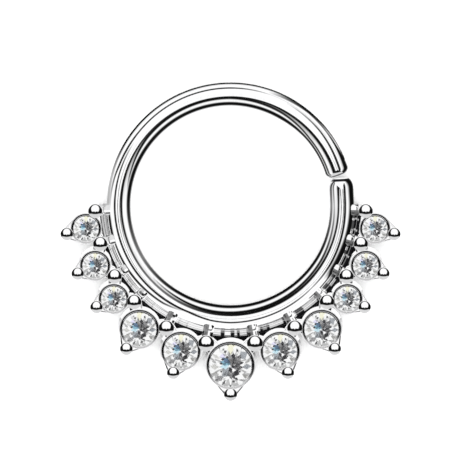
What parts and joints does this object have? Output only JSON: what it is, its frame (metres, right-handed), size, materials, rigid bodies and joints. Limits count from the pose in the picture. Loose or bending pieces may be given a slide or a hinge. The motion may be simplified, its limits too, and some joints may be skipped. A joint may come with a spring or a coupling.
{
  "type": "septum ring",
  "caption": "Cut wire hoop for a septum or daith piercing, with a soldered fan of round clear stones in cups with bead claws.",
  "frame": {"origin": "centre of the hoop's opening, on the plane that the back of the ring rests on", "axes": "+Z along the hoop's axis, the way the stones face; the fan of stones lies towards -Y; the cut in the wire is on the +X side"},
  "size_m": [0.017, 0.016, 0.0018],
  "materials": {
    "polished_steel": "mirror polished surgical steel",
    "clear_stone": "faceted clear cubic zirconia"
  },
  "bodies": {
    "root": {"hoop_and_fan": "polished_steel", "stone_centre": "clear_stone", "stone_left_1": "clear_stone", "stone_left_2": "clear_stone", "stone_left_3": "clear_stone", "stone_left_4": "clear_stone", "stone_left_5": "clear_stone", "stone_right_1": "clear_stone", "stone_right_2": "clear_stone", "stone_right_3": "clear_stone", "stone_right_4": "clear_stone", "stone_right_5": "clear_stone"}
  },
  "joints": []
}
